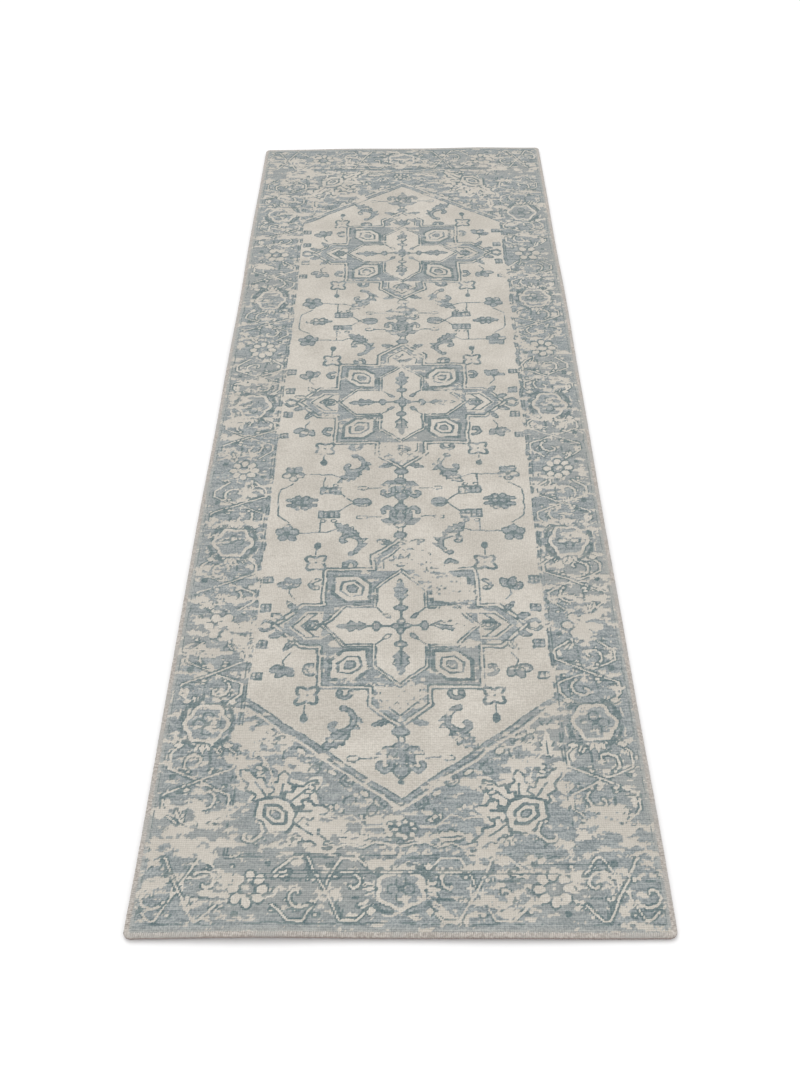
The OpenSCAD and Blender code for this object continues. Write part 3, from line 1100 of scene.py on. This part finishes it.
class Nodes:
    """Short ways to add nodes to one material."""

    def __init__(self, name, roughness=0.95, sheen=0.0):
        self.material = bpy.data.materials.new(name)
        self.material.use_nodes = True
        self.tree = self.material.node_tree
        self.shader = self.tree.nodes["Principled BSDF"]
        self.shader.inputs["Roughness"].default_value = roughness
        self.shader.inputs["Specular IOR Level"].default_value = 0.15
        self.shader.inputs["Sheen Weight"].default_value = sheen
        self.shader.inputs["Sheen Roughness"].default_value = 0.6
        self.where = self.tree.nodes.new("ShaderNodeTexCoord").outputs["Object"]

    def link(self, value, socket):
        if isinstance(value, bpy.types.NodeSocket):
            self.tree.links.new(value, socket)
        else:
            socket.default_value = value

    def math(self, operation, *values):
        node = self.tree.nodes.new("ShaderNodeMath")
        node.operation = operation
        for value, socket in zip(values, node.inputs):
            self.link(value, socket)
        return node.outputs[0]

    def plus(self, a, b):
        return self.math("ADD", a, b)

    def times(self, a, b):
        return self.math("MULTIPLY", a, b)

    def mean(self, a, b):
        return self.times(self.plus(a, b), 0.5)

    def attribute(self, name):
        node = self.tree.nodes.new("ShaderNodeAttribute")
        node.attribute_name = name
        return node.outputs["Fac"]

    def stretched(self, scale):
        """The object's coordinates, multiplied along each axis."""
        node = self.tree.nodes.new("ShaderNodeMapping")
        self.link(self.where, node.inputs["Vector"])
        node.inputs["Scale"].default_value = scale
        return node.outputs[0]

    def noise(self, scale, detail=2.0):
        node = self.tree.nodes.new("ShaderNodeTexNoise")
        self.link(self.stretched(scale), node.inputs["Vector"])
        node.inputs["Scale"].default_value = 1.0
        node.inputs["Detail"].default_value = detail
        return node.outputs["Fac"]

    def steps(self, value, low, high, start=0.0, end=1.0):
        """The value, taken smoothly from one range to another."""
        node = self.tree.nodes.new("ShaderNodeMapRange")
        node.interpolation_type = "SMOOTHSTEP"
        for number, name in ((value, "Value"), (low, "From Min"), (high, "From Max"),
                             (start, "To Min"), (end, "To Max")):
            self.link(number, node.inputs[name])
        return node.outputs["Result"]

    def mix(self, factor, a, b, blend="MIX"):
        node = self.tree.nodes.new("ShaderNodeMix")
        node.data_type = "RGBA"
        node.blend_type = blend
        self.link(factor, node.inputs["Factor"])
        self.link(a, node.inputs["A"])
        self.link(b, node.inputs["B"])
        return node.outputs["Result"]

    def axis(self, name):
        node = self.tree.nodes.new("ShaderNodeSeparateXYZ")
        self.link(self.where, node.inputs[0])
        return node.outputs[name]

    def wave(self, value, pitch):
        """A wave from -1 to 1 with that pitch in metres."""
        return self.math("SINE", self.times(value, 2 * math.pi / pitch))

    def bump(self, height, distance):
        node = self.tree.nodes.new("ShaderNodeBump")
        node.inputs["Strength"].default_value = 1.0
        node.inputs["Distance"].default_value = distance
        self.link(height, node.inputs["Height"])
        self.link(node.outputs["Normal"], self.shader.inputs["Normal"])

    def finish(self, colour):
        self.link(colour, self.shader.inputs["Base Color"])
        return self.material


def pile_material():
    """Low sheared wool knots in three yarns, dyed unevenly and rubbed pale, with painted shade between the
    rows and columns of knots.
    """
    n = Nodes("pile_wool", roughness=0.95, sheen=0.12)
    ragged = n.times(n.plus(n.noise((420, 420, 420)), -0.5), 0.5)
    grey = n.steps(n.plus(n.attribute("grey"), ragged), 0.36, 0.64)
    slate = n.steps(n.plus(n.attribute("slate"), ragged), 0.34, 0.66)
    streak = n.steps(n.noise((26, 190, 100), 3.0), 0.36, 0.66)
    cloud = n.steps(n.noise((9, 9, 9), 2.0), 0.35, 0.65)
    knot = n.steps(n.noise((300, 300, 300), 0.0), 0.3, 0.7)
    cream = n.mix(n.mean(knot, cloud), CREAM_WOOL_SHADE, CREAM_WOOL)
    grey_yarn = n.mix(n.mean(streak, knot), GREY_WOOL, GREY_WOOL_LIGHT)
    warmth = n.times(n.steps(n.noise((3.2, 5, 5), 1.0), 0.45, 0.7), 0.55)
    grey_yarn = n.mix(warmth, grey_yarn, GREY_WOOL_WARM)
    slate_yarn = n.mix(n.mean(streak, knot), SLATE_WOOL, SLATE_WOOL_LIGHT)
    colour = n.mix(grey, cream, grey_yarn)
    colour = n.mix(slate, colour, slate_yarn)
    colour = n.mix(n.times(n.attribute("rubbed"), 0.5), colour, WORN_WOOL)
    rows = n.wave(n.axis("Y"), RIB)
    columns = n.wave(n.axis("X"), RIB)
    fibre = n.noise((1500, 1500, 1500), 2.0)
    # Painted shade in the gaps between rows and columns of knots, times a random fibre tone
    rib_shade_and_fibre_tone = n.steps(n.plus(rows, n.times(columns, 0.7)), -1.6, 1.2, 0.865, 1.035)
    rib_shade_and_fibre_tone = n.times(rib_shade_and_fibre_tone, n.steps(fibre, 0.25, 0.75, 0.90, 1.03))
    colour = n.mix(1.0, colour, rib_shade_and_fibre_tone, "MULTIPLY")
    ribs = n.plus(n.times(rows, 0.45), n.times(columns, 0.25))
    n.bump(n.plus(ribs, n.times(fibre, 0.9)), 0.6 * MM)
    return n.finish(colour)


def yarn_material(name, light, dark):
    """Spun yarn: fine slanting plies and a little fluff."""
    n = Nodes(name, roughness=0.9, sheen=0.15)
    plies = n.noise((620, 620, 372), 2.0)
    cloud = n.noise((70, 70, 70), 1.0)
    factor = n.plus(n.times(plies, 0.7), n.times(cloud, 0.3))
    n.bump(plies, 0.3 * MM)
    return n.finish(n.mix(n.steps(factor, 0.3, 0.7), dark, light))


def overcast_material():
    """Loosely spun wool in a mixed beige, a little fluffy, with painted shade that darkens it towards the
    floor.
    """
    n = Nodes("overcast_wool", roughness=0.95, sheen=0.2)
    plies = n.noise((900, 900, 900), 3.0)
    turns = n.noise((260, 260, 260), 1.0)
    cloud = n.noise((22, 22, 22), 2.0)
    n.bump(n.plus(plies, n.times(turns, 0.4)), 0.6 * MM)
    colour = n.mix(n.steps(turns, 0.32, 0.68), OVERCAST_WOOL, OVERCAST_WOOL_LIGHT)
    colour = n.mix(n.steps(cloud, 0.42, 0.7), colour, OVERCAST_CLOUD)
    colour = n.mix(n.steps(plies, 0.3, 0.7, 0.0, 0.35), colour, OVERCAST_PLY)
    # Painted shade: the yarn darkens from 7.2 mm down to 2.8 mm above the floor
    return n.finish(n.mix(n.steps(n.attribute("height"), 2.8, 7.2), OVERCAST_PAINTED_SHADE, colour))


def cloth_material():
    """Plain-woven cotton: threads over and under each other."""
    n = Nodes("backing_cotton_cloth", roughness=0.92)
    weave = n.times(n.wave(n.axis("X"), CLOTH_THREAD), n.wave(n.axis("Y"), CLOTH_THREAD))
    slub_across = n.noise((60, 700, 60), 2.0)
    slub_along = n.noise((700, 60, 60), 2.0)
    n.bump(n.plus(n.times(weave, 0.4), n.plus(slub_across, slub_along)), 0.3 * MM)
    factor = n.plus(n.times(weave, 0.18), n.mean(slub_across, slub_along))
    light, dark = CLOTH_COTTON
    return n.finish(n.mix(n.steps(factor, 0.2, 0.8), dark, light))


def latex_material():
    """A matte rubber coat that has soaked unevenly into the foundation."""
    n = Nodes("latex_coat", roughness=0.62)
    cloud = n.noise((40, 40, 40), 4.0)
    grain = n.noise((500, 500, 500), 2.0)
    n.bump(n.plus(cloud, n.times(grain, 0.3)), 0.5 * MM)
    light, dark = LATEX
    return n.finish(n.mix(n.steps(cloud, 0.35, 0.65), dark, light))


def floor_material():
    """Plain white paint with a faint grain."""
    n = Nodes("floor_white", roughness=0.9)
    light, dark = FLOOR_PAINT
    return n.finish(n.mix(n.noise((30, 30, 30), 3.0), dark, light))


# === The scene

BACKING_INSET = 10.3     # the backing stops at the inner line of the overcasting
LATEX_INSET = 8.0
CLOTH_GAP = 0.02         # left free under and over the cloth
LATEX_GAP, LATEX_TOP_GAP = 0.03, 0.08
SHEET_CELL = 12          # cells of the thin sheets
WEFT_PITCH, WARP_PITCH = 13.6, 6.8


def own(piece, material, slot_name, *nodes):
    """Gives a piece its material and its body, and hides the CAD nodes that it stands for; slot_name is not
    used.
    """
    piece.data.materials.append(material)
    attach(piece, "root")
    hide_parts(*nodes)
    return piece


def make_rug():
    pile = own(make_pile(), pile_material(), "pile_cream", "pile")
    warp_yarn = yarn_material("warp_yarn", *WARP_COTTON)
    weft_yarn = yarn_material("weft_yarn", *WEFT_COTTON)
    cord_yarn = yarn_material("cord_yarn", *CORD_COTTON)
    overcast_yarn = overcast_material()
    cloth = make_slab("backing_sheet", BACKING_LOW[2] + CLOTH_GAP, BACKING_HIGH[2] - CLOTH_GAP, BACKING_INSET)
    own(cloth, cloth_material(), "backing_cotton", "backing_cloth")
    coat = make_slab("latex_layer", LATEX_LOW[2] + LATEX_GAP, LATEX_HIGH[2] - LATEX_TOP_GAP, LATEX_INSET,
                     rough=0.05)
    own(coat, latex_material(), "latex", "latex_coat")
    lower = make_yarns("lower_weft_yarns", "lower_wefts", True, WEFT_PITCH)
    warps = make_yarns("warp_yarns", "warps", False, WARP_PITCH)
    upper = make_yarns("upper_weft_yarns", "upper_wefts", True, WEFT_PITCH)
    yarns = [own(lower, weft_yarn, "weft_cotton", "lower_wefts"),
             own(warps, warp_yarn, "warp_cotton", "warps"),
             own(upper, weft_yarn, "weft_cotton", "upper_wefts")]
    for side in ("left", "right", "near", "far"):
        own(make_cord(side), cord_yarn, "edge_cord", "edge_cord_" + side)
        own(make_overcast(side), overcast_yarn, "overcast_yarn", "overcast_" + side)


FLOOR_HALF = 12.0        # metres
KEY_POWER, KEY_SPREAD, KEY_TURN = 0.72, 30, (-38, 0, 20)
# The camera's place in metres, and its angles below level, to the right and about its own line of sight
CAMERA_AT = (0.0236, -2.120, 1.621)
CAMERA_PITCH, CAMERA_YAW, CAMERA_ROLL = 43.20, -0.845, -0.938
CAMERA_LENS = 40.88


def make_floor():
    half = FLOOR_HALF
    mesh = bpy.data.meshes.new("floor")
    corners = [(-half, -half, 0), (half, -half, 0), (half, half, 0), (-half, half, 0)]
    mesh.from_pydata(corners, [], [(0, 1, 2, 3)])
    floor = bpy.data.objects.new("floor", mesh)
    mesh.materials.append(floor_material())
    bpy.context.scene.collection.objects.link(floor)


def make_lights():
    """An even white room, and one wide soft light from beyond the far left corner."""
    world = bpy.data.worlds.new("studio")
    world.use_nodes = True
    sky = world.node_tree.nodes["Background"]
    sky.inputs["Color"].default_value = (1, 1, 1, 1)
    sky.inputs["Strength"].default_value = 1.0
    bpy.context.scene.world = world
    data = bpy.data.lights.new("key", "SUN")
    data.angle = math.radians(KEY_SPREAD)
    data.energy = KEY_POWER
    key = bpy.data.objects.new("key", data)
    key.rotation_euler = [math.radians(angle) for angle in KEY_TURN]
    bpy.context.scene.collection.objects.link(key)
    bpy.context.scene.view_settings.view_transform = "Standard"


def make_camera():
    """The camera stands at the near end, over the rug's right half, and looks down its length."""
    pitch, yaw, roll = (math.radians(a) for a in (CAMERA_PITCH, CAMERA_YAW, CAMERA_ROLL))
    ahead = Vector((math.sin(yaw) * math.cos(pitch), math.cos(yaw) * math.cos(pitch), -math.sin(pitch)))
    level = Vector((math.cos(yaw), -math.sin(yaw), 0))
    above = level.cross(ahead)
    right = level * math.cos(roll) + above * math.sin(roll)
    up = above * math.cos(roll) - level * math.sin(roll)
    data = bpy.data.cameras.new("camera")
    data.lens = CAMERA_LENS
    data.sensor_width = 36
    camera = bpy.data.objects.new("camera", data)
    turned = Matrix((right, up, -ahead)).transposed().to_4x4()
    camera.matrix_world = Matrix.Translation(CAMERA_AT) @ turned
    bpy.context.scene.collection.objects.link(camera)
    bpy.context.scene.camera = camera


make_floor()
make_lights()
make_camera()
draw_cartoon()
make_rug()
